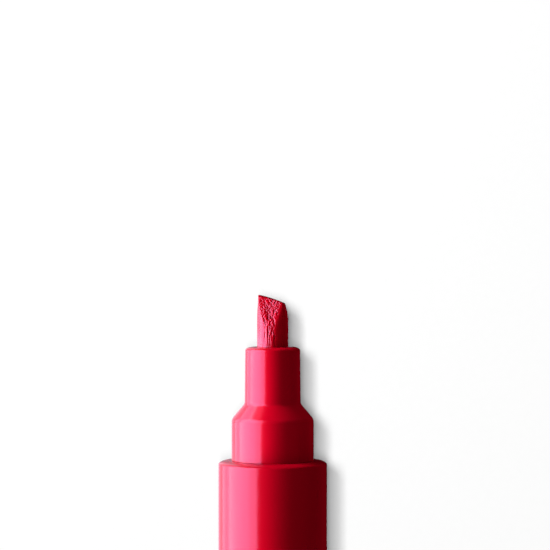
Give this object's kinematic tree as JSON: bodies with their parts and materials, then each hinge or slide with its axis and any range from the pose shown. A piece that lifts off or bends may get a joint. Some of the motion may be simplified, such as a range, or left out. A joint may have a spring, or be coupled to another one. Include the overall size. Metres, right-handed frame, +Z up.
{
  "type": "felt tip marker",
  "caption": "Valve-action felt tip marker with a stepped collar, a slanted chisel nib and a push-on cap posted on its tail.",
  "frame": {"origin": "on the table under the middle of the marker's whole length, centred across it; the marker lies on the barrel's underside and on one flat of the cap, with its axis 8 mm above the table", "axes": "+Y along the marker's axis towards the nib, +Z up, +X to the right when the marker is seen from above with the nib pointing away"},
  "size_m": [0.0176, 0.1554, 0.016],
  "materials": {
    "red_plastic": "satin moulded polypropylene",
    "nib_felt": "bonded fibre soaked with red paint",
    "natural_plastic": "undyed moulded polypropylene",
    "stainless_steel": "bright wire and ball",
    "seal_rubber": "matt"
  },
  "bodies": {
    "barrel": {"barrel": "red_plastic", "front_section": "red_plastic", "tail_plug": "red_plastic", "valve_cup": "natural_plastic", "valve_seal": "seal_rubber", "spring_cage": "natural_plastic", "valve_spring": "stainless_steel"},
    "valve_stem": {"valve_stem": "natural_plastic"},
    "nib": {"nib": "nib_felt"},
    "cap": {"cap": "red_plastic", "cap_liner": "natural_plastic"},
    "mixing_ball": {"mixing_ball": "stainless_steel"}
  },
  "joints": [
    {"name": "nib_press", "type": "slide", "parent": "barrel", "child": "valve_stem", "axis": [0, -1, 0], "range_m": [0, 0.0018], "stiffness_N_per_m": 1200, "springref_m": -0.001, "deforming": ["valve_spring"]},
    {"name": "nib_pull", "type": "slide", "parent": "valve_stem", "child": "nib", "axis": [0, 1, 0], "range_m": [0, 0.024]},
    {"name": "cap_pull", "type": "slide", "parent": "barrel", "child": "cap", "axis": [0, -1, 0], "range_m": [0, 0.03]},
    {"name": "ball_roll", "type": "slide", "parent": "barrel", "child": "mixing_ball", "axis": [0, 1, 0], "range_m": [-0.036, 0.036]}
  ]
}
